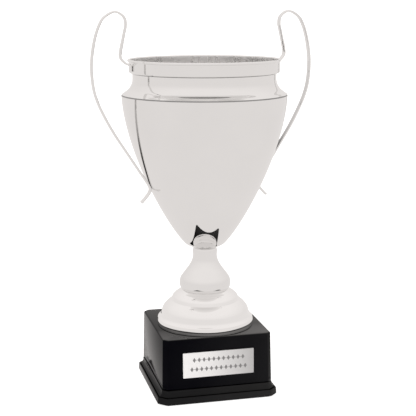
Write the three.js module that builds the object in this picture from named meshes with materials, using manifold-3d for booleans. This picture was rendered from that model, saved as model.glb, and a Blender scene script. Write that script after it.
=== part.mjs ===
// Two-handled presentation cup on a square moulded plinth.
// Millimetres, +Z up. Origin: centre of the underside, where the felt pad meets the table.
// +X runs along the plinth towards the right handle, -Y is the side with the engraving plate.
import * as THREE from 'three';
import { mergeVertices } from 'three/addons/utils/BufferGeometryUtils.js';
import Module from 'manifold-3d';

const wasm = await Module();
wasm.setup();

// ---------------------------------------------------------------- driving dimensions
const clearance = 0.3;          // air gap between pieces that only lie against each other
const insideGap = 0.65;         // the same for a flat washer inside a curved wall
const glueGap = 0.02;           // either side of the adhesive tape
const washerBoreClearance = 0.3;
const past = 1;                 // how far a cutter runs past the face it opens
const joinDepth = 0.5;          // how far two bodies that become one reach into each other

// plinth, a hollow moulded square block with 45 degree corners
const plinthHeight = 62.4;      // from its own lower rim to its top face
const plinthTopHalf = 53.4;     // half width of the top face
const plinthWallHalf = plinthTopHalf + 1.05;  // half width where the draughted wall ends
const plinthWallFoot = 12.9;    // height of that lower end above the rim
const plinthCorner = 4.4;       // leg of the corner chamfer on the walls
const flangeHalf = plinthTopHalf + 5.4;       // half width of the lower flange at its top
const flangeRimHalf = flangeHalf + 0.6;       // half width of the lower flange at its rim
const flangeHeight = 6.2;
const flangeCorner = 7.3;
const flangeDraught = 0.25;     // how much the flange widens below its top edge
const flangeUnderDraught = 1.5; // extra wall at the rim, inside
const plinthEdge = 0.9;         // small bevel round the top face
const plinthWall = 2.6;
const plinthTopThickness = 3.2;
const bossRadius = 15;          // round pad under the top that the base washer bears on
const bossDrop = 2;
const bossRim = 1.5;            // the pad is this much wider than the space cut in the ribs
const ribThickness = 2;
const ribDrop = 9;

// steel ballast under the plinth, and the screws that hold it
const weightHalf = plinthTopHalf - 7.4;
const weightThickness = 10;
const weightLift = 2;           // underside of the ballast above the plinth rim
const weightWindow = 16;        // radius of the hole that lets a spanner reach the base nut
const postOffset = plinthTopHalf - 17.4;      // the four moulded screw posts, from the axis along X and Y
const postRadius = 6;
const postScrewRadius = 1.75;
const postScrewBite = 12;
const postHeadRadius = 3.8;
const postHeadHeight = 2.4;
const crossSlotWidth = 0.9;
const crossSlotLength = 3.8;
const crossSlotDepth = 0.8;

// felt under everything
const feltThickness = 1;
const feltInset = 1.6;

// engraving plate on the front wall
const plateWidth = 70;
const plateHeight = 24.8;
const plateCentreHeight = 36.6;   // above the plinth rim, along Z
const plateThickness = 0.8;
const plateCorner = 0.6;
const tapeThickness = 0.35;
const tapeInset = 1.5;

// spun foot
const footWall = 0.9;
const footLipRadius = plinthTopHalf - 5.5;
const footLipHeight = 3.6;      // height of the upright skirt under the lip
const footDomeRadius = footLipRadius - 4.3;
const footHeight = 34.2;
const footStepHeight = footHeight - 9.6;      // height of the upper tier's lower edge above the plinth

// pear-shaped stem
const stemWall = 1.2;
const stemHeight = 43;
const stemFootRadius = 22.7;
const footStepRadius = stemFootRadius + 10.6;  // upper tier of the foot, which carries the stem
const stemBulgeRadius = stemFootRadius + 2.8;
const stemBulgeHeight = 6.2;    // above the stem's lower edge
const stemNeckRadius = 12;
const stemSeatRadius = 9.2;     // flat ring that carries the bowl

// bowl
const bowlWall = 1;
const bowlHeight = 184.2;       // from its seat on the stem to the top of the rim
const bowlHeelRadius = 22;      // where the rounded bottom runs into the tapered wall
const bowlHeelHeight = 6.2;
const shoulderRadius = 80;
const shoulderHeight = bowlHeight - 34.6;
const neckRadius = shoulderRadius - 10.8;
const neckHeight = bowlHeight - 15.7;
const bandRadius = shoulderRadius - 7.4;      // short upright band under the rim
const bandHeight = bowlHeight - 12.8;
const rimRadius = bandRadius + 1.3;
const rimBead = 1.3;            // radius of the rolled rim

// handles, bent from flat strip
const cupTurn = THREE.MathUtils.degToRad(7);  // the cup as turned about its rod when it was tightened
const stripWidth = 6;
const stripThickness = 1.9;
const handleTopRise = 44.5;     // strip centre line above the rim
const handleReach = shoulderRadius + 31.2;    // strip centre line from the axis at its widest
const handlePadHeight = bowlHeight - 7.6;     // middle of the upper foot, above the bowl seat
const handleSeatHeight = 62;    // middle of the lower seat on the bowl
const handleTail = 15;          // length of the free tail below it

// fasteners
const rodRadius = 3;
const rodHoleClearance = 0.5;
const threadClearance = 0.12;
const rodStickOut = 1.6;
const nutAcross = 10;           // across flats
const nutHeight = 5;
const baseWasherRadius = 12;
const baseWasherThickness = 1.6;
const springWasherRadius = 6;
const springWasherThickness = 1.6;
const springWasherSlot = 1.2;
const bowlWasherRadius = 9;
const bowlWasherThickness = 1.2;
const capInset = 0.3;           // step between the flats and the dome
const capBlind = 0.4;           // how far the thread runs into the dome
const capHeight = 4;            // domed end of the nut inside the bowl
const handleScrewRadius = 1.5;
const handleScrewHeadRadius = 2.7;
const handleScrewHeadHeight = 1.7;
const handleScrewSlotWidth = 0.7;
const handleScrewSlotDepth = 0.7;
const handleScrewClearance = 0.2;
const handleWasherClearance = 0.15;
const handleScrewSkin = 0.5;    // strip left over the end of the screw
const handleScrewTipGap = 0.2;
const handleWasherRadius = 3.1;
const handleWasherThickness = 0.5;

// mesh fineness
const turnSteps = 36;
const smallSteps = 16;
const stripSteps = 64;
const plateCornerSteps = 3;

// ---------------------------------------------------------------- levels that follow
const rimLevel = feltThickness;                       // lower rim of the plinth
const plinthTop = rimLevel + plinthHeight;
const footTop = plinthTop + footHeight;
const bowlSeat = footTop + stemHeight;
const rimTop = bowlSeat + bowlHeight;
const holeRadius = rodRadius + rodHoleClearance;

// ---------------------------------------------------------------- materials
const finish = (color, roughness, metalness) => new THREE.MeshStandardMaterial({ color, roughness, metalness });
const plated = () => finish(0xdcd9d5, 0.06, 1);
const steel = () => finish(0xb9bbbd, 0.3, 1);

// ---------------------------------------------------------------- solid helpers
function solid(geometry) {
  const g = geometry.index ? geometry.clone() : mergeVertices(geometry.clone());
  g.deleteAttribute('normal');
  g.deleteAttribute('uv');
  const merged = mergeVertices(g, 1e-4);
  const position = merged.attributes.position.array;
  const kept = [];
  for (let i = 0; i < merged.index.count; i += 3) {
    const [a, b, c] = [0, 1, 2].map((k) => merged.index.array[i + k]);
    if (a !== b && b !== c && c !== a) kept.push(a, b, c);
  }
  let volume = 0;
  const at = (i) => new THREE.Vector3().fromArray(position, 3 * i);
  for (let i = 0; i < kept.length; i += 3) {
    volume += at(kept[i]).dot(at(kept[i + 1]).cross(at(kept[i + 2])));
  }
  if (volume < 0) kept.reverse();
  return new wasm.Manifold(new wasm.Mesh({
    numProp: 3,
    vertProperties: new Float32Array(position),
    triVerts: new Uint32Array(kept),
  }));
}

function piece(name, body, material) {
  const m = body.getMesh();
  const g = new THREE.BufferGeometry();
  g.setAttribute('position', new THREE.BufferAttribute(new Float32Array(m.vertProperties), m.numProp));
  g.setIndex(new THREE.BufferAttribute(new Uint32Array(m.triVerts), 1));
  g.computeVertexNormals();
  const mesh = new THREE.Mesh(g, material);
  mesh.name = name;
  return mesh;
}

// a profile of [radius, height] points, closed on itself, turned about Z
function turned(profile, steps = turnSteps) {
  const points = [...profile, profile[0]].map(([r, z]) => new THREE.Vector2(r, z));
  return solid(new THREE.LatheGeometry(points, steps).rotateX(Math.PI / 2));
}

function ring(outer, inner, low, high, steps = smallSteps) {
  return turned([[inner, low], [outer, low], [outer, high], [inner, high]], steps);
}

function rod(radius, low, high, steps = smallSteps) {
  const g = new THREE.CylinderGeometry(radius, radius, high - low, steps);
  return solid(g.rotateX(Math.PI / 2).translate(0, 0, (low + high) / 2));
}

function block(sx, sy, sz, x, y, z) {
  return solid(new THREE.BoxGeometry(sx, sy, sz).translate(x, y, z));
}

// square with cut corners, as eight points
function cutSquare(half, cut) {
  const k = half - cut;
  return [[half, -k], [half, k], [k, half], [-k, half], [-half, k], [-half, -k], [-k, -half], [k, -half]];
}

// closed loft through sections of { half, cut, z }
function loft(sections) {
  const rings = sections.map(({ half, cut, z }) => cutSquare(half, cut).map(([x, y]) => [x, y, z]));
  const sides = rings[0].length;
  const centreLow = [0, 0, sections[0].z];
  const centreHigh = [0, 0, sections.at(-1).z];
  const corners = [];
  const triangle = (a, b, c) => corners.push(...a, ...b, ...c);
  for (let i = 0; i < sides; i++) {
    const j = (i + 1) % sides;
    triangle(centreLow, rings[0][j], rings[0][i]);
    triangle(centreHigh, rings.at(-1)[i], rings.at(-1)[j]);
    for (let k = 0; k + 1 < rings.length; k++) {
      triangle(rings[k][i], rings[k][j], rings[k + 1][j]);
      triangle(rings[k][i], rings[k + 1][j], rings[k + 1][i]);
    }
  }
  const g = new THREE.BufferGeometry();
  g.setAttribute('position', new THREE.BufferAttribute(new Float32Array(corners), 3));
  return solid(g);
}

// move every point of a profile inwards by a wall thickness
function offsetInwards(profile, wall) {
  return profile.map(([r, z], i) => {
    const [ar, az] = profile[Math.max(i - 1, 0)];
    const [br, bz] = profile[Math.min(i + 1, profile.length - 1)];
    const length = Math.hypot(br - ar, bz - az);
    return [r - wall * (bz - az) / length, z + wall * (br - ar) / length];
  });
}

const sampled = (curve, steps) => curve.getPoints(steps).map((p) => [p.x, p.y]);
const bezier = (...p) => new THREE.CubicBezierCurve(...p.map(([x, y]) => new THREE.Vector2(x, y)));
const spline = (...p) => new THREE.SplineCurve(p.map(([x, y]) => new THREE.Vector2(x, y)));

// ---------------------------------------------------------------- plinth
const plinthSlope = (plinthWallHalf - plinthTopHalf) / (plinthHeight - plinthWallFoot);
const wallHalfAt = (height) => plinthWallHalf - plinthSlope * (height - plinthWallFoot);

function plinthBody() {
  const cove = bezier(
    [flangeHalf, flangeHeight],
    [flangeHalf - 3.2, flangeHeight + 0.4],
    [plinthWallHalf + 0.3, flangeHeight + 2.6],
    [plinthWallHalf, plinthWallFoot],
  );
  const coveSteps = 5;
  const sections = [
    { half: flangeRimHalf, cut: flangeCorner, z: 0 },
    { half: flangeHalf + flangeDraught, cut: flangeCorner, z: flangeHeight - plinthEdge },
    ...sampled(cove, coveSteps).map(([half, z], i) => ({
      half,
      cut: THREE.MathUtils.lerp(flangeCorner, plinthCorner, i / coveSteps),
      z,
    })),
    { half: wallHalfAt(plinthHeight - plinthEdge), cut: plinthCorner, z: plinthHeight - plinthEdge },
    { half: plinthTopHalf - plinthEdge, cut: plinthCorner - 0.3, z: plinthHeight },
  ];
  const roof = plinthHeight - plinthTopThickness;
  const hollow = loft([
    { half: flangeRimHalf - plinthWall - flangeUnderDraught, cut: flangeCorner, z: -past },
    { half: plinthWallHalf - plinthWall, cut: plinthCorner, z: flangeHeight },
    { half: wallHalfAt(roof) - plinthWall, cut: plinthCorner, z: roof },
  ]);
  let body = loft(sections).subtract(hollow);
  const reach = wallHalfAt(roof) - plinthWall / 2;
  const ribZ = roof - ribDrop / 2 + joinDepth;
  body = body.add(block(2 * reach, ribThickness, ribDrop + 2 * joinDepth, 0, 0, ribZ));
  body = body.add(block(ribThickness, 2 * reach, ribDrop + 2 * joinDepth, 0, 0, ribZ));
  body = body.subtract(rod(bossRadius, roof - ribDrop - past, roof - bossDrop, turnSteps));
  body = body.add(rod(bossRadius + bossRim, roof - bossDrop, roof + joinDepth, turnSteps));
  const postLow = weightLift + weightThickness;
  for (const [x, y] of corners4(postOffset)) {
    body = body.add(rod(postRadius, postLow, roof + joinDepth).translate([x, y, 0]));
    const bore = rod(postScrewRadius, postLow - past, postLow + postScrewBite + past);
    body = body.subtract(bore.translate([x, y, 0]));
  }
  body = body.subtract(rod(holeRadius, roof - bossDrop - past, plinthHeight + past));
  return body.translate([0, 0, rimLevel]);
}

function corners4(offset) {
  return [[-offset, -offset], [offset, -offset], [offset, offset], [-offset, offset]];
}

// ---------------------------------------------------------------- under the plinth
const weightLow = rimLevel + weightLift;

function weightPlate() {
  const middle = weightLow + weightThickness / 2;
  let plate = block(2 * weightHalf, 2 * weightHalf, weightThickness, 0, 0, middle);
  plate = plate.subtract(rod(weightWindow, weightLow - past, weightLow + weightThickness + past, turnSteps));
  for (const [x, y] of corners4(postOffset)) {
    const shank = rod(postScrewRadius + clearance, weightLow - past, weightLow + weightThickness + past);
    const sink = rod(postHeadRadius + clearance, weightLow - past, weightLow + postHeadHeight);
    plate = plate.subtract(shank.add(sink).translate([x, y, 0]));
  }
  return plate;
}

function weightScrew([x, y]) {
  const headTop = weightLow + postHeadHeight;
  const tip = weightLow + weightThickness + postScrewBite;
  const shankRadius = postScrewRadius - threadClearance;
  let screw = rod(postHeadRadius, weightLow, headTop).add(rod(shankRadius, headTop - joinDepth, tip));
  screw = screw.subtract(block(crossSlotWidth, crossSlotLength, 2 * crossSlotDepth, 0, 0, weightLow));
  screw = screw.subtract(block(crossSlotLength, crossSlotWidth, 2 * crossSlotDepth, 0, 0, weightLow));
  return screw.translate([x, y, 0]);
}

function feltPad() {
  const section = { half: flangeRimHalf - feltInset, cut: flangeCorner };
  return loft([{ ...section, z: 0 }, { ...section, z: feltThickness }]);
}

// ---------------------------------------------------------------- engraving plate
// Thin plates that lie on the sloping front wall: built flat in XZ, then leaned back by the draught.
function onFrontWall(width, height, corner, thickness, lift) {
  const shape = new THREE.Shape();
  const [w, h] = [width / 2, height / 2];
  shape.moveTo(-w + corner, -h);
  shape.lineTo(w - corner, -h);
  shape.absarc(w - corner, -h + corner, corner, -Math.PI / 2, 0);
  shape.absarc(w - corner, h - corner, corner, 0, Math.PI / 2);
  shape.absarc(-w + corner, h - corner, corner, Math.PI / 2, Math.PI);
  shape.absarc(-w + corner, -h + corner, corner, Math.PI, 1.5 * Math.PI);
  const options = { depth: thickness, bevelEnabled: false, curveSegments: plateCornerSteps };
  const g = new THREE.ExtrudeGeometry(shape, options);
  g.translate(0, 0, lift).rotateX(Math.PI / 2 - Math.atan(plinthSlope));
  g.translate(0, -wallHalfAt(plateCentreHeight), rimLevel + plateCentreHeight);
  return solid(g);
}

const plateLift = glueGap + tapeThickness + glueGap;

// ---------------------------------------------------------------- foot
function footProfile() {
  const skirt = [[footLipRadius - 0.3, 0], [footLipRadius, footLipHeight]];
  const dome = sampled(spline(
    [footLipRadius - 0.6, footLipHeight + 2.2],
    [footLipRadius - 3.3, footLipHeight + 4.7],
    [footDomeRadius, footLipHeight + 7.9],
    [footDomeRadius - 0.9, footLipHeight + 11.3],
    [footDomeRadius - 3.2, footLipHeight + 14.8],
    [footDomeRadius - 6.6, footLipHeight + 18],
    [footStepRadius + 0.4, footStepHeight - 0.8],
  ), 9);
  const tier = sampled(spline(
    [footStepRadius, footStepHeight + 0.6],
    [footStepRadius - 1.2, footStepHeight + 3.2],
    [footStepRadius - 4.6, footStepHeight + 6.2],
    [stemFootRadius + 2.6, footHeight - 1.6],
    [stemFootRadius + 0.4, footHeight],
  ), 6);
  return [...skirt, ...dome, ...tier, [stemFootRadius - stemWall - 3, footHeight], [holeRadius, footHeight]];
}

function footBody() {
  const outer = footProfile();
  const inner = offsetInwards(outer, footWall);
  inner[0] = [outer[0][0] - footWall, 0];
  inner[inner.length - 1] = [holeRadius, footHeight - footWall];
  return turned([...outer, ...inner.reverse()]).translate([0, 0, plinthTop]);
}

// ---------------------------------------------------------------- stem
function stemBody() {
  const outer = sampled(spline(
    [stemFootRadius, 0],
    [stemFootRadius + 1.9, 2.2],
    [stemBulgeRadius, stemBulgeHeight],
    [stemBulgeRadius - 1, stemBulgeHeight + 5.2],
    [stemBulgeRadius - 4.9, stemBulgeHeight + 11],
    [stemNeckRadius + 4.3, stemHeight - 20],
    [stemNeckRadius + 1.1, stemHeight - 14],
    [stemNeckRadius, stemHeight - 8.6],
    [stemNeckRadius + 0.3, stemHeight - 4.2],
    [stemNeckRadius - 0.3, stemHeight - 1.6],
    [stemNeckRadius - 1.4, stemHeight - 0.4],
    [stemSeatRadius, stemHeight],
  ), 18);
  const inner = offsetInwards(outer, stemWall);
  inner[0] = [stemFootRadius - stemWall, 0];
  inner[inner.length - 1] = [stemSeatRadius - stemWall, stemHeight - stemWall];
  const closed = [...outer, [holeRadius, stemHeight], [holeRadius, stemHeight - stemWall], ...inner.reverse()];
  return turned(closed).translate([0, 0, footTop]);
}

// ---------------------------------------------------------------- bowl
const bowlTaper = bezier(
  [bowlHeelRadius, bowlHeelHeight],
  [bowlHeelRadius + 21.2, bowlHeelHeight + 25],
  [shoulderRadius - 2.2, shoulderHeight - 49.4],
  [shoulderRadius, shoulderHeight],
);

function bowlProfile() {
  const base = sampled(bezier(
    [stemSeatRadius, 0],
    [stemSeatRadius + 4.5, 0.2],
    [bowlHeelRadius - 3.6, bowlHeelHeight - 4.5],
    [bowlHeelRadius, bowlHeelHeight],
  ), 5);
  const neck = sampled(spline(
    [shoulderRadius - 0.3, shoulderHeight + 1],
    [shoulderRadius - 2.3, shoulderHeight + 2.6],
    [shoulderRadius - 6.7, shoulderHeight + 6],
    [neckRadius + 1.1, shoulderHeight + 10.6],
    [neckRadius + 0.1, shoulderHeight + 14.6],
    [neckRadius, neckHeight],
  ), 8);
  const band = [
    [neckRadius + 0.6, bandHeight - 0.9],
    [bandRadius - 0.7, bandHeight],
    [bandRadius, bandHeight + 1.4],
    [bandRadius, bowlHeight - 3.4],
  ];
  return [[holeRadius, 0], ...base, ...sampled(bowlTaper, 12).slice(1), ...neck, ...band];
}

function bowlBody() {
  const outer = bowlProfile();
  const inner = offsetInwards(outer, bowlWall);
  inner[0] = [holeRadius, bowlWall];
  // rolled rim: the wall leans out and ends in a bead
  const beadR = rimRadius - rimBead;
  const beadZ = bowlHeight - rimBead;
  const bead = [-90, -45, 0, 45, 90, 135].map((deg) => {
    const a = THREE.MathUtils.degToRad(deg);
    return [beadR + rimBead * Math.cos(a), beadZ + rimBead * Math.sin(a)];
  });
  let body = turned([...outer, ...bead, ...inner.reverse()]).translate([0, 0, bowlSeat]);
  for (const side of [-1, 1]) {
    for (const seat of handleSeats(side)) {
      const bore = rod(handleScrewRadius + handleScrewClearance, -6 * bowlWall, 3 * bowlWall);
      body = body.subtract(alongSeat(seat, bore));
    }
  }
  return body;
}

// ---------------------------------------------------------------- handles
// the taper of the bowl at a height above its seat: [radius, outward normal]
function bowlAt(height) {
  let [low, high] = [0, 1];
  for (let i = 0; i < 40; i++) {
    const middle = (low + high) / 2;
    if (bowlTaper.getPoint(middle).y < height) low = middle;
    else high = middle;
  }
  const tangent = bowlTaper.getTangent(low);
  return { radius: bowlTaper.getPoint(low).x, normal: [tangent.y, -tangent.x] };
}

// where the strip lies on the bowl: point on the bowl's surface and outward direction in the handle plane
function handleSeats(side) {
  const low = bowlAt(handleSeatHeight);
  return [
    { side, r: bandRadius, z: bowlSeat + handlePadHeight, lean: 0 },
    { side, r: low.radius, z: bowlSeat + handleSeatHeight, lean: Math.atan2(low.normal[1], low.normal[0]) },
  ];
}

// put a body built along +Z, with Z = 0 on the bowl's surface, onto a seat
function alongSeat({ side, r, z, lean }, body) {
  const m = new THREE.Matrix4()
    .makeRotationZ(side > 0 ? 0 : Math.PI)
    .multiply(new THREE.Matrix4().makeTranslation(r, 0, z))
    .multiply(new THREE.Matrix4().makeRotationY(Math.PI / 2 - lean));
  return body.transform(m.elements);
}

function handleLine() {
  const [pad, seat] = handleSeats(1);
  const rise = clearance + stripThickness / 2;
  const padX = pad.r + rise;
  const [nx, nz] = [Math.cos(seat.lean), Math.sin(seat.lean)];
  const seatX = seat.r + rise * nx;
  const seatZ = seat.z + rise * nz;
  const reach = handleReach;
  const top = rimTop + handleTopRise;
  const rim = rimTop;
  return [
    [padX, pad.z - 2.9],
    [padX, pad.z],
    [padX + 0.5, pad.z + 2.7],
    [padX + 4.5, rim - 3],
    [reach - 28.8, rim + 0.8],
    [reach - 27.6, rim + 4],
    [reach - 28, rim + 8.5],
    [reach - 29.9, rim + 17],
    [reach - 31.8, rim + 25.5],
    [reach - 33.3, top - 12],
    [reach - 31.8, top - 5],
    [reach - 23.4, top],
    [reach - 12.6, top - 5.2],
    [reach - 7.6, top - 13],
    [reach - 2.9, top - 27.5],
    [reach, top - 49],
    [reach - 1.5, top - 70],
    [reach - 5.2, top - 83],
    [reach - 10.6, top - 95],
    [reach - 20.6, top - 113.2],
    [seatX + 24, seatZ + 38],
    [seatX + 10.6, seatZ + 17.4],
    [seatX - 4.4 * nz, seatZ + 4.4 * nx],
    [seatX, seatZ],
    [seatX + 0.5, seatZ - 3.2],
    [seatX + 0.28 * handleTail, seatZ - 0.55 * handleTail],
    [seatX + 0.6 * handleTail, seatZ - 0.89 * handleTail],
  ].map(([x, z]) => new THREE.Vector3(x, 0, z));
}

function handleBody(side) {
  const line = new THREE.CatmullRomCurve3(handleLine(), false, 'centripetal');
  const [w, t] = [stripWidth / 2, stripThickness / 2];
  const section = new THREE.Shape([[-w, -t], [w, -t], [w, t], [-w, t]].map(([x, y]) => new THREE.Vector2(x, y)));
  const g = new THREE.ExtrudeGeometry(section, { steps: stripSteps, extrudePath: line, bevelEnabled: false });
  if (side < 0) g.rotateZ(Math.PI);
  let strip = solid(g);
  for (const seat of handleSeats(side)) {
    const boreEnd = clearance + stripThickness - handleScrewSkin;
    const bore = rod(handleScrewRadius + threadClearance, -past, boreEnd);
    strip = strip.subtract(alongSeat(seat, bore));
  }
  return strip;
}

function handleScrew(seat) {
  const headTop = -bowlWall - insideGap - handleWasherThickness - glueGap;
  const tip = clearance + stripThickness - handleScrewSkin - handleScrewTipGap;
  const shank = rod(handleScrewRadius, headTop - joinDepth, tip);
  const head = rod(handleScrewHeadRadius, headTop - handleScrewHeadHeight, headTop);
  const slotZ = headTop - handleScrewHeadHeight;
  const slot = block(handleScrewSlotWidth, 3 * handleScrewHeadRadius, 2 * handleScrewSlotDepth, 0, 0, slotZ);
  return alongSeat(seat, head.add(shank).subtract(slot));
}

function handleWasher(seat) {
  const high = -bowlWall - insideGap;
  const bore = handleScrewRadius + handleWasherClearance;
  return alongSeat(seat, ring(handleWasherRadius, bore, high - handleWasherThickness, high));
}

// ---------------------------------------------------------------- the rod and what is on it
function hexNut(low, high, dome = 0) {
  const hex = new THREE.CylinderGeometry(nutAcross / Math.sqrt(3), nutAcross / Math.sqrt(3), high - low, 6);
  let nut = solid(hex.rotateX(Math.PI / 2).translate(0, 0, (low + high) / 2));
  if (dome > 0) {
    const capRadius = nutAcross / 2 - capInset;
    const curve = sampled(new THREE.EllipseCurve(0, high, capRadius, dome, 0, Math.PI / 2), 6).slice(0, -1);
    const axis = 0.001;
    const capLow = high - joinDepth;
    nut = nut.add(turned([[axis, capLow], [capRadius, capLow], ...curve, [axis, high + dome]]));
    return nut.subtract(rod(rodRadius + threadClearance, low - past, high + capBlind));
  }
  return nut.subtract(rod(rodRadius + threadClearance, low - past, high + past));
}

const baseWasherHigh = plinthTop - plinthTopThickness - bossDrop;
const springWasherHigh = baseWasherHigh - baseWasherThickness;
const baseNutHigh = springWasherHigh - springWasherThickness;
const rodLow = baseNutHigh - nutHeight - rodStickOut;
const bowlWasherLow = bowlSeat + bowlWall;
const bowlNutLow = bowlWasherLow + bowlWasherThickness;
const rodHigh = bowlNutLow + nutHeight;

function springWasher() {
  const low = springWasherHigh - springWasherThickness;
  const reach = springWasherRadius + past;
  const slot = block(reach, springWasherSlot, 3 * springWasherThickness, reach / 2, 0, low);
  return ring(springWasherRadius, rodRadius + washerBoreClearance, low, springWasherHigh).subtract(slot);
}

// ---------------------------------------------------------------- assembly
const trophy = new THREE.Group();
const black = () => finish(0x14141a, 0.28, 0);

trophy.add(piece('felt_pad', feltPad(), finish(0x17181a, 0.95, 0)));
trophy.add(piece('plinth', plinthBody(), black()));
trophy.add(piece('weight_plate', weightPlate(), finish(0x6d6f72, 0.5, 1)));
corners4(postOffset).forEach((place, i) => {
  trophy.add(piece(`weight_screw_${i + 1}`, weightScrew(place), steel()));
});
const [tapeWidth, tapeHeight] = [plateWidth - 2 * tapeInset, plateHeight - 2 * tapeInset];
const tape = onFrontWall(tapeWidth, tapeHeight, plateCorner, tapeThickness, glueGap);
trophy.add(piece('plate_tape', tape, finish(0xdadada, 0.8, 0)));
const plate = onFrontWall(plateWidth, plateHeight, plateCorner, plateThickness, plateLift);
trophy.add(piece('engraving_plate', plate, finish(0xd8d8d8, 0.35, 1)));

const washer = ring(baseWasherRadius, rodRadius + washerBoreClearance, springWasherHigh, baseWasherHigh);
trophy.add(piece('base_washer', washer, steel()));
trophy.add(piece('spring_washer', springWasher(), steel()));
trophy.add(piece('base_nut', hexNut(baseNutHigh - nutHeight, baseNutHigh), steel()));
trophy.add(piece('tie_rod', rod(rodRadius, rodLow, rodHigh), steel()));
trophy.add(piece('foot', footBody(), plated()));
trophy.add(piece('stem', stemBody(), plated()));

const cup = new THREE.Group();
cup.rotation.z = cupTurn;
cup.add(piece('bowl', bowlBody(), plated()));
const bowlWasher = ring(bowlWasherRadius, rodRadius + washerBoreClearance, bowlWasherLow, bowlNutLow);
cup.add(piece('bowl_washer', bowlWasher, steel()));
cup.add(piece('bowl_nut', hexNut(bowlNutLow, bowlNutLow + nutHeight, capHeight), steel()));
for (const [side, word] of [[-1, 'left'], [1, 'right']]) {
  cup.add(piece(`handle_${word}`, handleBody(side), plated()));
  handleSeats(side).forEach((seat, i) => {
    const place = i === 0 ? 'upper' : 'lower';
    cup.add(piece(`${word}_${place}_screw`, handleScrew(seat), steel()));
    cup.add(piece(`${word}_${place}_washer`, handleWasher(seat), steel()));
  });
}
trophy.add(cup);

export default trophy;
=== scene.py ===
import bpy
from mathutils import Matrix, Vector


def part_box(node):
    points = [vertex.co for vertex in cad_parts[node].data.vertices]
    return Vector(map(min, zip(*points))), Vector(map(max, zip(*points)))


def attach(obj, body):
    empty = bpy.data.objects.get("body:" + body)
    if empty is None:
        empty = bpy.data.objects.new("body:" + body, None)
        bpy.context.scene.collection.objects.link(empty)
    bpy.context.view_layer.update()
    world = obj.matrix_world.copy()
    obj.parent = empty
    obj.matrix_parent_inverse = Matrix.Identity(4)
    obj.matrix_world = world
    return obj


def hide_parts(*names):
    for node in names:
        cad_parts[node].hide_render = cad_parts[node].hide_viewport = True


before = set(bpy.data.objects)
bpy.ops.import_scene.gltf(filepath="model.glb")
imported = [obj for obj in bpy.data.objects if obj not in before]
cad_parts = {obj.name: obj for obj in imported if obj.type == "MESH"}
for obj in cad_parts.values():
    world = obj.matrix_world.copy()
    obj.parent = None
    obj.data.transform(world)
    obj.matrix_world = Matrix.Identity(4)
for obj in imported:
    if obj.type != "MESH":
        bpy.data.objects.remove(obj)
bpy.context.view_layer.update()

from math import atan2, cos, hypot, pi, radians, sin, sqrt

import bmesh
import bpy
from mathutils import Matrix, Vector

MM = 0.001
scene = bpy.context.scene

# ------------------------------------------------------------------ camera
# Placed by distance, height and heading about the object's own axis.
CAMERA_HEADING = radians(-13.66)
CAMERA_DISTANCE = 1006.7 * MM
CAMERA_HEIGHT = 378.5 * MM
CAMERA_PITCH = radians(11.21)
CAMERA_PAN = radians(-0.18)
CAMERA_ROLL = radians(-0.12)

camera_data = bpy.data.cameras.new("camera")
camera_data.sensor_fit = "HORIZONTAL"
camera_data.sensor_width = 36
camera_data.lens = 90.22
camera_data.clip_start = 0.01
camera_data.clip_end = 100
camera = bpy.data.objects.new("camera", camera_data)
heading = Matrix.Rotation(CAMERA_HEADING, 4, "Z")
turn = Matrix.Rotation(CAMERA_HEADING + CAMERA_PAN, 4, "Z")
tilt = Matrix.Rotation(pi / 2 - CAMERA_PITCH, 4, "X")
roll = Matrix.Rotation(CAMERA_ROLL, 4, "Z")
place = Matrix.Translation(heading @ Vector((0, -CAMERA_DISTANCE, CAMERA_HEIGHT)))
camera.matrix_world = place @ turn @ tilt @ roll
scene.collection.objects.link(camera)
scene.camera = camera
scene.view_settings.view_transform = "Standard"
scene.view_settings.look = "None"


# ------------------------------------------------------------------ levels and driving sizes
def level(node, end):
    """Lowest (end 0) or highest (end 1) level of a CAD node, in mm."""
    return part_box(node)[end][2] / MM


PLINTH_LOW = level("plinth", 0)
PLINTH_TOP = level("plinth", 1)
FOOT_TOP = level("stem", 0)
BOWL_SEAT = level("bowl", 0)
RIM_TOP = level("bowl", 1)
PLINTH_HEIGHT = PLINTH_TOP - PLINTH_LOW
FOOT_HEIGHT = FOOT_TOP - PLINTH_TOP
STEM_HEIGHT = level("stem", 1) - FOOT_TOP
BOWL_HEIGHT = RIM_TOP - BOWL_SEAT

PLINTH_TOP_HALF = 53.4     # half width of the plinth's top face
PLINTH_WALL_HALF = PLINTH_TOP_HALF + 1.05
WALL_FOOT = 12.9           # where the plinth's moulding begins, above its lower rim
SEAT_HEIGHT = 62.0         # the handles' lower seats, above the bowl's own seat


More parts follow.
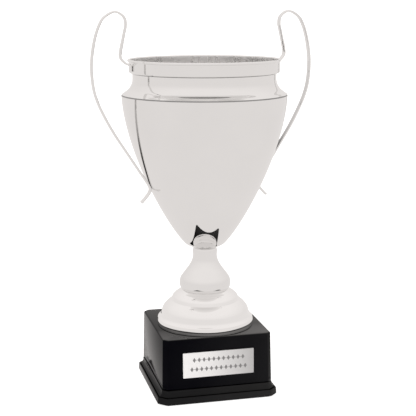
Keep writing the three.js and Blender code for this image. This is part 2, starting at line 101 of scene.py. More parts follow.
# ------------------------------------------------------------------ node helpers
class Nodes:
    """A material's node tree with short calls to add and link nodes."""

    def __init__(self, name):
        self.material = bpy.data.materials.new(name)
        self.material.use_nodes = True
        self.tree = self.material.node_tree
        self.shader = self.tree.nodes["Principled BSDF"]

    def set(self, **values):
        for key, value in values.items():
            self.shader.inputs[key.replace("_", " ")].default_value = value

    def add(self, kind, inputs=None, **settings):
        node = self.tree.nodes.new("ShaderNode" + kind)
        for key, value in settings.items():
            setattr(node, key, value)
        for key, value in (inputs or {}).items():
            if hasattr(value, "node"):
                self.tree.links.new(value, node.inputs[key])
            else:
                node.inputs[key].default_value = value
        return node

    def link(self, output, socket):
        self.tree.links.new(output, self.shader.inputs[socket])

    def place(self, scale=(1, 1, 1)):
        coords = self.add("TexCoord")
        mapping = self.add("Mapping", {"Vector": coords.outputs["Object"], "Scale": scale})
        return mapping.outputs["Vector"]

    def noise(self, vector, scale, detail=4.0, roughness=0.5):
        inputs = {"Vector": vector, "Scale": scale, "Detail": detail, "Roughness": roughness}
        return self.add("TexNoise", inputs).outputs["Fac"]

    def spread(self, value, low, high, out_low, out_high):
        inputs = {"Value": value, "From Min": low, "From Max": high, "To Min": out_low, "To Max": out_high}
        return self.add("MapRange", inputs).outputs["Result"]

    def ramp(self, value, *stops):
        node = self.add("ValToRGB", {"Fac": value})
        elements = node.color_ramp.elements
        while len(elements) < len(stops):
            elements.new(0.5)
        for element, (position, color) in zip(elements, stops):
            element.position = position
            element.color = (*color, 1)
        return node.outputs["Color"]

    def bump(self, height, distance, strength=1.0, normal=None):
        inputs = {"Height": height, "Distance": distance, "Strength": strength}
        if normal is not None:
            inputs["Normal"] = normal
        return self.add("Bump", inputs).outputs["Normal"]


def grey(value, tint=(1, 1, 1)):
    return tuple(value * part for part in tint)


# ------------------------------------------------------------------ materials
# Tones of the surfaces in view are matched to the photograph, and their cause there isn't known.
# Those of the parts out of sight are guessed.
WARM = (1.0, 0.995, 0.99)


def plated_metal(name, brightness, waviness, rings, roughness):
    """Mirror plating, a warm grey with wipe marks. waviness and rings are bump heights in mm."""
    m = Nodes(name)
    m.set(Metallic=1.0)
    cloud = m.noise(m.place(), 18.0, 3.0)
    dark, light = grey(brightness, WARM), grey(brightness * 1.03, WARM)
    m.link(m.ramp(cloud, (0.3, dark), (0.7, light)), "Base Color")
    wipe = m.noise(m.place((1, 1, 0.25)), 260.0, 6.0, 0.6)
    m.link(m.spread(wipe, 0.35, 0.75, roughness, roughness * 2.2), "Roughness")
    slow = m.bump(m.noise(m.place((1, 1, 0.6)), 30.0, 1.0), waviness * MM)
    lathe_lines = m.noise(m.place((0.4, 0.4, 60)), 14.0, 2.0)
    m.link(m.bump(lathe_lines, rings * MM, 1.0, slow), "Normal")
    return m.material


# Painted reflection on the inner side of the handles' strips, graded by height.
PAINTED_DARK_FROM = BOWL_SEAT + SEAT_HEIGHT + 12.4   # the strip is darkest at this level and below
PAINTED_DARK_REACH = 100.0                           # and brightest from this much higher up


def handle_inner_side():
    """Plating on the inner side of the strip with a painted reflection: near black at its low end and
    bright at its top.
    """
    m = Nodes("handle_inner_side")
    m.set(Metallic=1.0)
    coords = m.add("TexCoord")
    height = m.add("SeparateXYZ", {"Vector": coords.outputs["Object"]}).outputs["Z"]
    reach = m.spread(height, PAINTED_DARK_FROM * MM, (PAINTED_DARK_FROM + PAINTED_DARK_REACH) * MM, 0.0, 1.0)
    cloud = m.spread(m.noise(m.place(), 90.0, 4.0), 0.3, 0.7, -0.02, 0.02)
    blend = m.add("Math", {0: reach, 1: cloud}, operation="ADD").outputs["Value"]
    # painted reflection: near black low on the strip, bright towards its top
    stops = ((0.0, 0.03), (0.16, 0.08), (0.26, 0.22), (0.35, 0.50), (0.46, 0.62), (1.0, 0.78))
    m.link(m.ramp(blend, *((place, grey(value, WARM)) for place, value in stops)), "Base Color")
    m.link(m.spread(cloud, -0.02, 0.02, 0.03, 0.08), "Roughness")
    return m.material


def black_plastic():
    """Black plastic with a fine grain: greyer along its moulding as a painted highlight and greyer to +X
    as a painted sheen, glossy at its top's front.
    """
    m = Nodes("black_plastic")
    m.set(IOR=1.5)
    cloud = m.noise(m.place(), 30.0, 5.0)
    coords = m.add("TexCoord")
    spot = m.add("SeparateXYZ", {"Vector": coords.outputs["Object"]}).outputs
    wall_foot = PLINTH_LOW + WALL_FOOT
    # painted highlight on the moulding below the wall's foot, and painted sheen growing towards +X
    painted_moulding_highlight = m.spread(spot["Z"], (wall_foot - 0.6) * MM, wall_foot * MM, 0.55, 0.0)
    painted_sheen_to_x = m.spread(spot["X"], -45 * MM, 55 * MM, 0.0, 0.42)
    # the two painted lights added together
    bloom = m.add("Math", {0: painted_moulding_highlight, 1: painted_sheen_to_x}, operation="ADD").outputs["Value"]
    mottle = m.spread(cloud, 0.3, 0.75, -0.06, 0.06)
    tone = m.add("Math", {0: bloom, 1: mottle}, operation="ADD").outputs["Value"]
    m.link(m.ramp(tone, (0.0, (0.0008, 0.0008, 0.0022)), (1.0, (0.021, 0.021, 0.021))), "Base Color")
    top = m.spread(spot["Z"], (PLINTH_TOP - 0.6) * MM, (PLINTH_TOP - 0.1) * MM, 0.0, 1.0)
    front_gloss = m.spread(spot["Y"], -20 * MM, -52 * MM, 0.03, 0.34)
    polish = m.add("Math", {0: top, 1: front_gloss, 2: 0.028}, operation="MULTIPLY_ADD").outputs["Value"]
    m.link(polish, "Specular IOR Level")
    marks = m.noise(m.place(), 900.0, 4.0, 0.7)
    m.link(m.spread(marks, 0.3, 0.75, 0.05, 0.11), "Roughness")
    grain = m.bump(m.noise(m.place(), 2600.0, 2.0), 0.012 * MM)
    swell = m.bump(m.noise(m.place(), 14.0, 2.0), 0.06 * MM, 1.0, grain)
    m.link(swell, "Normal")
    return m.material


def moulding_recess():
    """Matt, near black painted shade at the bottom of the moulding's lines, with a fine mottle."""
    m = Nodes("moulding_recess")
    m.set(Specular_IOR_Level=0.0)
    groove_mottle = m.noise(m.place(), 400.0, 4.0)
    m.link(m.ramp(groove_mottle, (0.4, grey(0.0004)), (0.8, grey(0.003))), "Base Color")
    m.link(m.spread(groove_mottle, 0.3, 0.75, 0.7, 0.95), "Roughness")
    return m.material


def satin_plate():
    """Engraving plate: silver with fine brushing along its length, and a painted sheen that fades along
    it.
    """
    m = Nodes("satin_plate")
    m.set(Metallic=0.55, Anisotropic=0.5)
    stroke = m.noise(m.place((6, 6, 900)), 6.0, 6.0, 0.7)
    coords = m.add("TexCoord")
    along = m.add("SeparateXYZ", {"Vector": coords.outputs["Object"]}).outputs["X"]
    # painted sheen: light at -X, darker towards +X
    fade = m.spread(along, -34 * MM, 34 * MM, 0.0, 1.0)
    mottle = m.spread(stroke, 0.25, 0.75, -0.06, 0.06)
    blend = m.add("Math", {0: fade, 1: mottle}, operation="ADD").outputs["Value"]
    sheen = m.ramp(blend, (0.0, grey(0.97)), (0.35, grey(0.90)), (1.0, grey(0.52)))
    m.link(sheen, "Base Color")
    m.link(m.spread(stroke, 0.2, 0.8, 0.24, 0.36), "Roughness")
    m.link(m.bump(stroke, 0.01 * MM), "Normal")
    return m.material


def engraved_line():
    """Dark fill of an engraved mark, with the cutter's fine scratches."""
    m = Nodes("engraved_line")
    m.set(Metallic=0.6)
    scratch = m.noise(m.place((1, 1, 8)), 3000.0, 3.0)
    m.link(m.ramp(scratch, (0.3, grey(0.20)), (0.7, grey(0.32))), "Base Color")
    m.link(m.spread(scratch, 0.3, 0.7, 0.4, 0.6), "Roughness")
    return m.material


def zinc_steel():
    """Bright zinc on fasteners, with a mottled bloom."""
    m = Nodes("zinc_steel")
    m.set(Metallic=1.0)
    bloom = m.noise(m.place(), 700.0, 5.0, 0.65)
    m.link(m.ramp(bloom, (0.3, (0.50, 0.51, 0.53)), (0.7, (0.68, 0.69, 0.68))), "Base Color")
    m.link(m.spread(bloom, 0.3, 0.7, 0.2, 0.36), "Roughness")
    m.link(m.bump(bloom, 0.01 * MM), "Normal")
    return m.material


def raw_steel():
    """Ballast plate with mill scale and a little rust."""
    m = Nodes("raw_steel")
    m.set(Metallic=0.85)
    scale = m.noise(m.place(), 160.0, 8.0, 0.7)
    dark, bright, rust = (0.10, 0.10, 0.105), (0.24, 0.23, 0.22), (0.24, 0.13, 0.07)
    m.link(m.ramp(scale, (0.35, dark), (0.6, bright), (0.78, rust)), "Base Color")
    m.link(m.spread(scale, 0.3, 0.8, 0.4, 0.75), "Roughness")
    m.link(m.bump(scale, 0.08 * MM), "Normal")
    return m.material


def black_felt():
    """Pressed black felt with loose fibres."""
    m = Nodes("black_felt")
    m.set(Roughness=0.95, Sheen_Weight=0.4)
    fibre = m.noise(m.place((1, 1, 3)), 2200.0, 8.0, 0.8)
    m.link(m.ramp(fibre, (0.3, (0.008, 0.008, 0.009)), (0.75, (0.032, 0.032, 0.035))), "Base Color")
    m.link(m.bump(fibre, 0.25 * MM), "Normal")
    return m.material


def foam_tape():
    """White foam tape with open cells at its cut edges."""
    m = Nodes("foam_tape")
    cell = m.noise(m.place(), 3000.0, 4.0)
    m.link(m.ramp(cell, (0.3, (0.62, 0.62, 0.60)), (0.7, (0.78, 0.78, 0.76))), "Base Color")
    m.link(m.spread(cell, 0.3, 0.7, 0.6, 0.85), "Roughness")
    m.link(m.bump(cell, 0.03 * MM), "Normal")
    return m.material


def crease_painted_shade():
    """Dull grey metal, mottled, painted as shade in the closed folds of the spinning."""
    m = Nodes("crease_painted_shade")
    m.set(Metallic=1.0)
    crease_mottle = m.noise(m.place(), 60.0, 6.0, 0.6)
    m.link(m.ramp(crease_mottle, (0.3, grey(0.26)), (0.7, grey(0.42))), "Base Color")
    m.link(m.spread(crease_mottle, 0.3, 0.7, 0.3, 0.5), "Roughness")
    return m.material


MIRROR = plated_metal("mirror_plating", 0.835, 0.004, 0.0003, 0.02)
INNER_SIDE = handle_inner_side()
# The foot's plating is the bowl's mirror plating made brighter: painted light.
FOOT_MIRROR = plated_metal("foot_plating", 0.90, 0.004, 0.0003, 0.02)
INSIDE = plated_metal("bowl_inside_plating", 0.95, 0.015, 0.0005, 0.22)
BLACK = black_plastic()
RECESS = moulding_recess()
PLATE = satin_plate()
ENGRAVED = engraved_line()
ZINC = zinc_steel()
CREASE = crease_painted_shade()


# ------------------------------------------------------------------ mesh helpers
def finish_piece(name, mesh, materials, node, sharp=radians(32)):
    """Make an object of a mesh, in place of a CAD node."""
    for material in materials:
        mesh.materials.append(material)
    mesh.shade_smooth()
    mesh.set_sharp_from_angle(angle=sharp)
    piece = bpy.data.objects.new(name, mesh)
    scene.collection.objects.link(piece)
    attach(piece, "root")
    if node is not None:
        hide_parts(node)
    return piece


def mesh_of(name, points, faces, face_materials=None):
    """A mesh of points in mm, with all its faces turned outwards."""
    mesh = bpy.data.meshes.new(name)
    mesh.from_pydata([tuple(c * MM for c in p) for p in points], [], faces)
    if face_materials:
        mesh.polygons.foreach_set("material_index", face_materials)
    mesh.update()
    solid = bmesh.new()
    solid.from_mesh(mesh)
    bmesh.ops.recalc_face_normals(solid, faces=solid.faces)
    solid.to_mesh(mesh)
    solid.free()
    return mesh


def turned_mesh(name, profile, marks=None, steps=240):
    """Turn a closed profile of (radius, height) in mm about Z. marks holds a material index per point."""
    points = []
    for i in range(steps):
        angle = 2 * pi * i / steps
        points += [(r * cos(angle), r * sin(angle), z) for r, z in profile]
    count = len(profile)
    faces = []
    materials = []
    for i in range(steps):
        j = (i + 1) % steps
        for k in range(count):
            l = (k + 1) % count
            faces.append((i * count + k, j * count + k, j * count + l, i * count + l))
            materials.append(marks[k] if marks else 0)
    return mesh_of(name, points, faces, materials)


def offset_inwards(profile, wall):
    """The inner side of a spun sheet, from the profile of its outer side."""
    moved = []
    for i, (r, z) in enumerate(profile):
        ar, az = profile[max(i - 1, 0)]
        br, bz = profile[min(i + 1, len(profile) - 1)]
        length = hypot(br - ar, bz - az)
        moved.append((r - wall * (bz - az) / length, z + wall * (br - ar) / length))
    return moved


def bezier(a, b, c, d, steps):
    """Points along a cubic Bezier curve."""
    curve = []
    for i in range(steps + 1):
        t = i / steps
        u = 1 - t
        weights = (u ** 3, 3 * u * u * t, 3 * u * t * t, t ** 3)
        curve.append(tuple(sum(w * p[k] for w, p in zip(weights, (a, b, c, d))) for k in (0, 1)))
    return curve


def flowing(points, steps, centripetal=False):
    """A Catmull-Rom curve through points, with steps pieces on each span."""
    points = [Vector(p) for p in points]
    first = 2 * points[0] - points[1]
    last = 2 * points[-1] - points[-2]
    chain = [first, *points, last]
    curve = []
    for p0, p1, p2, p3 in zip(chain, chain[1:], chain[2:], chain[3:]):
        if centripetal:
            d0, d1, d2 = [sqrt((b - a).length) for a, b in ((p0, p1), (p1, p2), (p2, p3))]
        else:
            d0 = d1 = d2 = 1.0
        m1 = (p2 - p1) + d1 * ((p1 - p0) / d0 - (p2 - p0) / (d0 + d1))
        m2 = (p2 - p1) + d1 * ((p3 - p2) / d2 - (p3 - p1) / (d1 + d2))
        for i in range(steps):
            t = i / steps
            h = 2 * t ** 3 - 3 * t ** 2 + 1
            curve.append(h * p1 + (t ** 3 - 2 * t ** 2 + t) * m1 + (1 - h) * p2 + (t ** 3 - t ** 2) * m2)
    curve.append(points[-1])
    return curve


def rounded(points, radius, steps=4):
    """Round each inner corner of an open polyline."""
    made = [points[0]]
    for a, b, c in zip(points, points[1:], points[2:]):
        a, b, c = Vector(a), Vector(b), Vector(c)
        cut = min(radius, (a - b).length * 0.45, (c - b).length * 0.45)
        p, q = b + (a - b).normalized() * cut, b + (c - b).normalized() * cut
        for i in range(steps + 1):
            t = i / steps
            made.append(tuple((1 - t) ** 2 * p + 2 * t * (1 - t) * b + t * t * q))
    made.append(points[-1])
    return made


def lifted(profile, rise):
    return [(r, z + rise) for r, z in profile]


def arc(cx, cy, radius, angles):
    """Points on a circle at angles in degrees."""
    return [(cx + radius * cos(radians(a)), cy + radius * sin(radians(a))) for a in angles]


# ------------------------------------------------------------------ spun foot and stem
FOOT_WALL = 0.9
LIP_RADIUS = PLINTH_TOP_HALF - 5.5
LIP_HEIGHT = 3.6
LIP_TUCK = 0.9              # the edge under the rolled lip stands back by this much
DOME_RADIUS = LIP_RADIUS - 4.3
STEM_FOOT_RADIUS = 22.7
STEP_RADIUS = STEM_FOOT_RADIUS + 10.6
STEP_HEIGHT = FOOT_HEIGHT - 9.6
HOLE_RADIUS = 3.5           # for the tie rod


def foot():
    """Spun foot: a rolled lip, a dome, an upper tier and the flat that carries the stem."""
    dome = flowing([
        (LIP_RADIUS - 0.6, LIP_HEIGHT + 2.2),
        (LIP_RADIUS - 3.3, LIP_HEIGHT + 4.7),
        (DOME_RADIUS, LIP_HEIGHT + 7.9),
        (DOME_RADIUS - 0.9, LIP_HEIGHT + 11.3),
        (DOME_RADIUS - 3.2, LIP_HEIGHT + 14.8),
        (DOME_RADIUS - 6.6, LIP_HEIGHT + 18),
        (STEP_RADIUS + 0.4, STEP_HEIGHT - 0.8),
    ], 6)
    tier = flowing([
        (STEP_RADIUS, STEP_HEIGHT + 0.6),
        (STEP_RADIUS - 1.2, STEP_HEIGHT + 3.2),
        (STEP_RADIUS - 4.6, STEP_HEIGHT + 6.2),
        (STEM_FOOT_RADIUS + 2.6, FOOT_HEIGHT - 1.6),
        (STEM_FOOT_RADIUS + 0.4, FOOT_HEIGHT),
    ], 6)
    skirt = rounded([
        (LIP_RADIUS - LIP_TUCK, 0),
        (LIP_RADIUS - LIP_TUCK, 1.9),
        (LIP_RADIUS, 2.3),
        (LIP_RADIUS, LIP_HEIGHT - 0.4),
        (LIP_RADIUS - 0.35, LIP_HEIGHT + 1.2),
    ], 0.5)
    seat = [(STEM_FOOT_RADIUS - 4, FOOT_HEIGHT), (HOLE_RADIUS, FOOT_HEIGHT)]
    outer = skirt + [tuple(p) for p in dome + tier] + seat
    inner = offset_inwards(outer, FOOT_WALL)
    inner[0] = (outer[0][0] - FOOT_WALL, 0)
    inner[-1] = (HOLE_RADIUS, FOOT_HEIGHT - FOOT_WALL)
    profile = lifted(outer + inner[::-1], PLINTH_TOP)
    finish_piece("spun_foot", turned_mesh("spun_foot", profile), [FOOT_MIRROR], "foot")


STEM_WALL = 1.2
BULGE_RADIUS = STEM_FOOT_RADIUS + 2.8
STEM_NECK_RADIUS = 12.0
SEAT_RADIUS = 9.2


def stem():
    """Pear-shaped stem, hollow, with a flat top under the bowl."""
    outer = [tuple(p) for p in flowing([
        (STEM_FOOT_RADIUS, 0),
        (BULGE_RADIUS - 0.9, 2.2),
        (BULGE_RADIUS, 6.2),
        (BULGE_RADIUS - 1, 11.4),
        (BULGE_RADIUS - 4.9, 17.2),
        (STEM_NECK_RADIUS + 4.3, 23),
        (STEM_NECK_RADIUS + 1.1, 29),
        (STEM_NECK_RADIUS, 34.4),
        (STEM_NECK_RADIUS + 0.3, STEM_HEIGHT - 4.2),
        (STEM_NECK_RADIUS - 0.3, STEM_HEIGHT - 1.6),
        (STEM_NECK_RADIUS - 1.4, STEM_HEIGHT - 0.4),
        (SEAT_RADIUS, STEM_HEIGHT),
    ], 8)]
    inner = offset_inwards(outer, STEM_WALL)
    inner[0] = (STEM_FOOT_RADIUS - STEM_WALL, 0)
    inner[-1] = (SEAT_RADIUS - STEM_WALL, STEM_HEIGHT - STEM_WALL)
    top = [(HOLE_RADIUS, STEM_HEIGHT), (HOLE_RADIUS, STEM_HEIGHT - STEM_WALL)]
    profile = lifted(outer + top + inner[::-1], FOOT_TOP)
    finish_piece("pear_stem", turned_mesh("pear_stem", profile), [MIRROR], "stem")


# ------------------------------------------------------------------ bowl
BOWL_WALL = 1.0
HEEL_RADIUS = 22.0
HEEL_HEIGHT = 6.2
SHOULDER_RADIUS = 80.0
SHOULDER_HEIGHT = BOWL_HEIGHT - 34.6
NECK_RADIUS = SHOULDER_RADIUS - 10.8
NECK_HEIGHT = BOWL_HEIGHT - 15.7
BAND_RADIUS = SHOULDER_RADIUS - 7.4
BAND_HEIGHT = BOWL_HEIGHT - 12.8
BEAD = 1.3                  # radius of the rolled rim
CREASE_DEPTH = 0.25

TAPER = [
    (HEEL_RADIUS, HEEL_HEIGHT),
    (HEEL_RADIUS + 21.2, HEEL_HEIGHT + 25),
    (SHOULDER_RADIUS - 2.2, SHOULDER_HEIGHT - 49.4),
    (SHOULDER_RADIUS, SHOULDER_HEIGHT),
]


def bowl():
    """Spun bowl: rounded bottom, tapered wall, shoulder, neck, upright band and rolled rim."""
    heel_pull = (HEEL_RADIUS - 3.6, HEEL_HEIGHT - 4.5)
    base = bezier((SEAT_RADIUS, 0), (SEAT_RADIUS + 4.5, 0.2), heel_pull, TAPER[0], 14)
    taper = bezier(*TAPER, 90)[1:]
    shoulder_crease = [
        (SHOULDER_RADIUS - CREASE_DEPTH, SHOULDER_HEIGHT + 0.35),
        (SHOULDER_RADIUS - CREASE_DEPTH - 0.1, SHOULDER_HEIGHT + 0.8),
    ]
    neck = [tuple(p) for p in flowing([
        (SHOULDER_RADIUS - 0.3, SHOULDER_HEIGHT + 1.15),
        (SHOULDER_RADIUS - 2.3, SHOULDER_HEIGHT + 2.6),
        (SHOULDER_RADIUS - 6.7, SHOULDER_HEIGHT + 6),
        (NECK_RADIUS + 1.1, SHOULDER_HEIGHT + 10.6),
        (NECK_RADIUS + 0.1, SHOULDER_HEIGHT + 14.6),
        (NECK_RADIUS, NECK_HEIGHT),
    ], 10)]
    band_crease = [(NECK_RADIUS + 0.1, BAND_HEIGHT - 1.0), (NECK_RADIUS + 0.5, BAND_HEIGHT - 0.45)]
    band = rounded([
        (BAND_RADIUS - 0.9, BAND_HEIGHT - 0.2),
        (BAND_RADIUS - 0.1, BAND_HEIGHT + 0.5),
        (BAND_RADIUS, BAND_HEIGHT + 2.2),
        (BAND_RADIUS, BOWL_HEIGHT - 3.4),
    ], 0.8)
    plated, crease, inside = range(3)
    outer = [(HOLE_RADIUS, 0)] + base + taper
    marks = [plated] * (len(outer) - 1)
    outer += shoulder_crease + neck
    marks += [crease] * 3 + [plated] * (len(neck) - 1)
    outer += band_crease + band
    marks += [plated, crease, crease] + [plated] * (len(band) - 1)
    inner = offset_inwards(outer, BOWL_WALL)
    inner[0] = (HOLE_RADIUS, BOWL_WALL)
    bead = arc(BAND_RADIUS, BOWL_HEIGHT - BEAD, BEAD, range(-90, 181, 15))
    marks += [plated] * len(bead) + [inside] * (len(inner) + 1)
    profile = lifted(outer + bead + inner[::-1], BOWL_SEAT)
    mesh = turned_mesh("spun_bowl", profile, marks[:len(profile)], 320)
    # the faces of the two creases get the painted shade
    finish_piece("spun_bowl", mesh, [MIRROR, CREASE, INSIDE], "bowl")


# ------------------------------------------------------------------ handles
CUP_TURN = radians(7)
STRIP_WIDTH = 6.0
STRIP_THICKNESS = 1.9
STRIP_ROUND = 0.7
CLEARANCE = 0.3
PAD_HEIGHT = BOWL_HEIGHT - 7.6
TOP_RISE = 44.5             # above the rim
REACH = SHOULDER_RADIUS + 31.2
TAIL = 15.0
LINE_STEPS = 12
WIDEST_SPAN, LAST_SPAN = 15, 22      # spans of handle_line, from its widest to just above the seat
INNER_FACES = (3, 4, 5)              # faces of the section on the side of the bowl there


def bowl_at(height):
    """Radius and outward direction of the tapered wall at a height above the bowl's seat."""
    curve = bezier(*TAPER, 4000)
    index = next(i for i, p in enumerate(curve) if p[1] >= height)
    (ar, az), (br, bz) = curve[index - 1], curve[index + 1]
    length = hypot(br - ar, bz - az)
    return curve[index][0], ((bz - az) / length, (ar - br) / length)


def handle_line():
    """Middle line of the strip of the +X handle in its own plane, from the upper pad to the free tail."""
    radius, (nx, nz) = bowl_at(SEAT_HEIGHT)
    rise = CLEARANCE + STRIP_THICKNESS / 2
    pad_x, pad_z = BAND_RADIUS + rise, BOWL_SEAT + PAD_HEIGHT
    seat_x, seat_z = radius + rise * nx, BOWL_SEAT + SEAT_HEIGHT + rise * nz
    rim, top = RIM_TOP, RIM_TOP + TOP_RISE
    line = [
        (pad_x, pad_z - 2.9), (pad_x, pad_z), (pad_x + 0.5, pad_z + 2.7), (pad_x + 4.5, rim - 3),
        (REACH - 28.8, rim + 0.8), (REACH - 27.6, rim + 4), (REACH - 28, rim + 8.5),
        (REACH - 29.9, rim + 17), (REACH - 31.8, rim + 25.5), (REACH - 33.3, top - 12),
        (REACH - 31.8, top - 5), (REACH - 23.4, top), (REACH - 12.6, top - 5.2),
        (REACH - 7.6, top - 13), (REACH - 2.9, top - 27.5), (REACH, top - 49),
        (REACH - 1.5, top - 70), (REACH - 5.2, top - 83), (REACH - 10.6, top - 95),
        (REACH - 20.6, top - 113.2), (seat_x + 24, seat_z + 38), (seat_x + 10.6, seat_z + 17.4),
        (seat_x - 4.4 * nz, seat_z + 4.4 * nx), (seat_x, seat_z), (seat_x + 0.5, seat_z - 3.2),
        (seat_x + 0.28 * TAIL, seat_z - 0.55 * TAIL), (seat_x + 0.6 * TAIL, seat_z - 0.89 * TAIL),
    ]
    return flowing(line, LINE_STEPS, centripetal=True)


def strip_section():
    """Section of the strip with its four corners rounded."""
    x, y = STRIP_WIDTH / 2 - STRIP_ROUND, STRIP_THICKNESS / 2 - STRIP_ROUND
    section = []
    for cx, cy, start in ((x, y, 0), (-x, y, 90), (-x, -y, 180), (x, -y, 270)):
        section += arc(cx, cy, STRIP_ROUND, [start + 22.5 * i for i in range(5)])
    return section


def handle(side, word):
    """Sweep the strip's section along its line, and turn it to its side of the cup."""
    line = handle_line()
    section = strip_section()
    count = len(section)
    points = []
    faces = []
    marks = []
    for i, p in enumerate(line):
        ahead, behind = line[min(i + 1, len(line) - 1)], line[max(i - 1, 0)]
        along = (ahead - behind).normalized()
        across = Vector((along.y, -along.x))
        for w, t in section:
            points.append((p.x + across.x * t, w, p.y + across.y * t))
    for i in range(len(line) - 1):
        for k in range(count):
            l = (k + 1) % count
            faces.append((i * count + k, i * count + l, (i + 1) * count + l, (i + 1) * count + k))
            # the inner faces from the widest point down to just above the seat get the painted reflection
            marks.append(int(k in INNER_FACES and WIDEST_SPAN <= i // LINE_STEPS < LAST_SPAN))
    faces.append(tuple(range(count)))
    faces.append(tuple((len(line) - 1) * count + k for k in range(count)))
    mesh = mesh_of("handle_" + word, points, faces, marks + [0, 0])
    mesh.transform(Matrix.Rotation(CUP_TURN + (0 if side > 0 else pi), 4, "Z"))
    node = "handle_" + word
    finish_piece("strip_" + node, mesh, [MIRROR, INNER_SIDE], node, radians(40))


# ------------------------------------------------------------------ plinth
FLANGE_HEIGHT = 6.2
SLOPE = (PLINTH_WALL_HALF - PLINTH_TOP_HALF) / (PLINTH_HEIGHT - WALL_FOOT)
# height above the rim, half width and depth of the lines round the moulding; a bead has a negative depth
MOULDING_LINES = ((WALL_FOOT, 0.55, 0.7), (WALL_FOOT - 1.6, 0.8, -0.35), (WALL_FOOT + 4.2, 0.4, 0.12))
# heights between which the skin is matt and near black, as painted shade in the moulding's lines
RECESS_BANDS = ((WALL_FOOT - 0.5, WALL_FOOT + 0.5), (FLANGE_HEIGHT - 0.05, FLANGE_HEIGHT + 0.5))


def is_outside(face):
    """A face of the plinth's outer skin, not of its hollow underside."""
    x, y, z = [c / MM for c in face.calc_center_median()]
    if face.normal.z > 0.99:
        return z > PLINTH_TOP - 1
    corner = (abs(x) + abs(y)) * 0.52
    faces_out = face.normal.dot(Vector((x, y, 0))) > 0
    return max(abs(x), abs(y), corner) > PLINTH_TOP_HALF - 1.5 and faces_out


def outer_skin(solid):
    """The outer faces of the plinth, with their edges and corners."""
    faces = [f for f in solid.faces if is_outside(f)]
    edges = list({e for f in faces for e in f.edges})
    corners = list({v for f in faces for v in f.verts})
    return faces, edges, corners


def cut_moulding_line(solid, height, half_width, depth):
    """Cut the outer skin at three levels, and push the middle one in towards the axis."""
    middle = PLINTH_LOW + height
    for cut in (middle - half_width, middle, middle + half_width):
        faces, edges, corners = outer_skin(solid)
        place = {"plane_co": (0, 0, cut * MM), "plane_no": (0, 0, 1)}
        bmesh.ops.bisect_plane(solid, geom=faces + edges + corners, dist=0.02 * MM, **place)
    for corner in outer_skin(solid)[2]:
        if abs(corner.co.z - middle * MM) < 0.03 * MM:
            half = max(abs(corner.co.x), abs(corner.co.y))
            corner.co.x *= 1 - depth * MM / half
            corner.co.y *= 1 - depth * MM / half


def plinth():
    """The CAD plinth with rounded outer edges and the fine lines of its moulding."""
    solid = bmesh.new()
    solid.from_mesh(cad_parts["plinth"].data)
    bmesh.ops.remove_doubles(solid, verts=solid.verts, dist=0.005 * MM)
    bmesh.ops.dissolve_limit(solid, angle_limit=radians(0.4), verts=solid.verts, edges=solid.edges)
    solid.normal_update()
    between_two = [e for e in solid.edges if len(e.link_faces) == 2]
    outer = [e for e in between_two if all(is_outside(f) for f in e.link_faces)]
    sharp = [e for e in outer if e.calc_face_angle() > radians(17)]
    rounding = {"offset": 0.55 * MM, "segments": 3, "profile": 0.5, "clamp_overlap": True}
    bmesh.ops.bevel(solid, geom=sharp, affect="EDGES", **rounding)
    for height, half_width, depth in MOULDING_LINES:
        cut_moulding_line(solid, height, half_width, depth)
    # faces in these bands get the near black painted shade
    for face in solid.faces:
        height = face.calc_center_median().z / MM - PLINTH_LOW
        if is_outside(face) and any(low < height < high for low, high in RECESS_BANDS):
            face.material_index = 1
    mesh = bpy.data.meshes.new("moulded_plinth")
    solid.to_mesh(mesh)
    solid.free()
    finish_piece("moulded_plinth", mesh, [BLACK, RECESS], "plinth", radians(28))


# ------------------------------------------------------------------ engraving plate
PLATE_WIDTH = 70.0
PLATE_HEIGHT = 24.8
PLATE_CENTRE = 36.6
PLATE_THICKNESS = 0.8
PLATE_LIFT = 0.39           # thickness of the tape behind it and its gaps
PLATE_CORNER = 0.6
PLATE_BEVEL = 0.22


def front_wall_place():
    """Turns X, Y and Z into along, up and out from the plinth's front wall, at the plate's middle."""
    half = PLINTH_WALL_HALF - SLOPE * (PLATE_CENTRE - WALL_FOOT)
    spot = Matrix.Translation(Vector((0, -half, PLINTH_LOW + PLATE_CENTRE)) * MM)
    return spot @ Matrix.Rotation(pi / 2 - atan2(SLOPE, 1), 4, "X")


def slab(points, faces, outline, low, high, inset=0.0):
    """Add a closed slab to lists of points and faces. inset is the bevel of its front edge."""
    start = len(points)
    count = len(outline)
    cx = sum(x for x, y in outline) / count
    cy = sum(y for x, y in outline) / count
    reach = max(max(abs(x - cx), abs(y - cy)) for x, y in outline)
    rings = [(0, low), (0, high - inset)]
    if inset:
        rings.append((inset / reach, high))
    for shrink, z in rings:
        points += [(x - shrink * (x - cx), y - shrink * (y - cy), z) for x, y in outline]
    for ring in range(len(rings) - 1):
        a = start + ring * count
        for i in range(count):
            j = (i + 1) % count
            faces.append((a + i, a + j, a + count + j, a + count + i))
    last = start + (len(rings) - 1) * count
    faces.append(tuple(start + i for i in reversed(range(count))))
    faces.append(tuple(last + i for i in range(count)))


def rectangle(width, height, radius, steps=5, cx=0.0, cy=0.0):
    """Outline of a rectangle with rounded corners."""
    outline = []
    for sx, sy, start in ((1, -1, -90), (1, 1, 0), (-1, 1, 90), (-1, -1, 180)):
        ox, oy = cx + sx * (width / 2 - radius), cy + sy * (height / 2 - radius)
        outline += arc(ox, oy, radius, [start + 90 * i / steps for i in range(steps + 1)])
    return outline


def engraving_plate():
    points, faces = [], []
    outline = rectangle(PLATE_WIDTH, PLATE_HEIGHT, PLATE_CORNER)
    slab(points, faces, outline, PLATE_LIFT, PLATE_LIFT + PLATE_THICKNESS, PLATE_BEVEL)
    mesh = mesh_of("plate", points, faces)
    mesh.transform(front_wall_place())
    finish_piece("brushed_plate", mesh, [PLATE], "engraving_plate", radians(20))


def lozenge(cx, cy, width, height):
    return [(cx - width / 2, cy), (cx, cy - height / 2), (cx + width / 2, cy), (cx, cy + height / 2)]


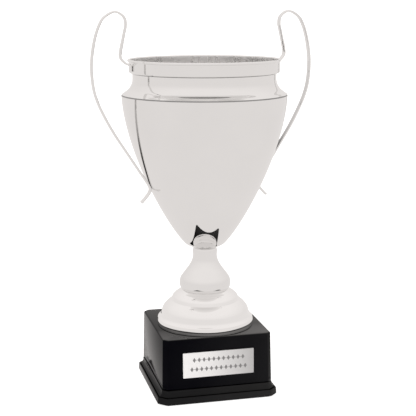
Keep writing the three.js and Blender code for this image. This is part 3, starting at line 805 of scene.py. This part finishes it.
MARK_ROWS = ((4.9, 11), (-4.3, 12))    # height above the plate's middle, and number of lozenges
MARK_PITCH = 4.8
MARK_WIDTH, MARK_HEIGHT = 3.2, 4.8
DOT_WIDTH, DOT_ROUND = 0.8, 0.38
MARK_SINK, MARK_PROUD = 0.05, 0.015    # how far the dark fill reaches below and above the plate's front


def engraved_marks():
    """Two rows of plain lozenges with dots between them, filled dark."""
    points, faces = [], []
    front = PLATE_LIFT + PLATE_THICKNESS
    low, high = front - MARK_SINK, front + MARK_PROUD
    for row, count in MARK_ROWS:
        for i in range(count):
            cx = (i - (count - 1) / 2) * MARK_PITCH
            slab(points, faces, lozenge(cx, row, MARK_WIDTH, MARK_HEIGHT), low, high)
            if i:
                dot = rectangle(DOT_WIDTH, DOT_WIDTH, DOT_ROUND, 4, cx - MARK_PITCH / 2, row)
                slab(points, faces, dot, low, high)
    mesh = mesh_of("marks", points, faces)
    mesh.transform(front_wall_place())
    finish_piece("engraved_marks", mesh, [ENGRAVED], None, radians(20))


foot()
stem()
bowl()
handle(1, "right")
handle(-1, "left")
plinth()
engraving_plate()
engraved_marks()


# ------------------------------------------------------------------ pieces kept from the CAD model
FASTENER = (ZINC, "zinc_steel")
OTHERS = {
    "felt_pad": (black_felt(), "black_felt"),
    "plate_tape": (foam_tape(), "adhesive_tape"),
    "weight_plate": (raw_steel(), "raw_steel"),
}
for name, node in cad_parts.items():
    if node.hide_render:
        continue
    material, slot = OTHERS.get(name, FASTENER)
    node.data.materials.clear()
    node.data.materials.append(material)


# ------------------------------------------------------------------ studio
def staged_sheet(name, corners, material):
    """One flat sheet of the studio, which isn't part of the object."""
    mesh = bpy.data.meshes.new(name)
    mesh.from_pydata(corners, [], [tuple(range(len(corners)))])
    mesh.materials.append(material)
    sheet = bpy.data.objects.new(name, mesh)
    scene.collection.objects.link(sheet)
    return sheet


def white_sweep():
    """Paper sweep, lit from behind so that it photographs plain white."""
    m = Nodes("white_sweep")
    m.set(Base_Color=(0.8, 0.8, 0.8, 1), Roughness=0.9, Specular_IOR_Level=0.0)
    m.set(Emission_Color=(1, 1, 1, 1), Emission_Strength=0.75)
    return m.material


WIDE = 9.0                  # radius of the floor, in metres
HIGH = 2 * WIDE
WALLS = 48
SWEEP = white_sweep()
ground = arc(0, 0, WIDE, [360 * i / WALLS for i in range(WALLS)])
floor = staged_sheet("floor", [(x, y, 0) for x, y in ground], SWEEP)
floor.visible_glossy = False
for i, (x, y) in enumerate(ground):
    u, v = ground[(i + 1) % len(ground)]
    corners = [(x, y, 0), (u, v, 0), (u, v, HIGH), (x, y, HIGH)]
    wall = staged_sheet("backdrop_%d" % i, corners, SWEEP)
    wall.visible_glossy = False
    wall.visible_diffuse = False

# an even light tent all round, a little brighter overhead
world = bpy.data.worlds.new("studio")
scene.world = world
world.use_nodes = True
tent = world.node_tree
background = tent.nodes["Background"]
background.inputs["Color"].default_value = (1, 0.962, 0.942, 1)
direction = tent.nodes.new("ShaderNodeTexCoord")
height = tent.nodes.new("ShaderNodeSeparateXYZ")
tent.links.new(direction.outputs["Generated"], height.inputs["Vector"])
ceiling = tent.nodes.new("ShaderNodeMapRange")
for key, value in {"From Min": 0.15, "From Max": 0.75, "To Min": 0.84, "To Max": 0.93}.items():
    ceiling.inputs[key].default_value = value
tent.links.new(height.outputs["Z"], ceiling.inputs["Value"])
tent.links.new(ceiling.outputs["Result"], background.inputs["Strength"])
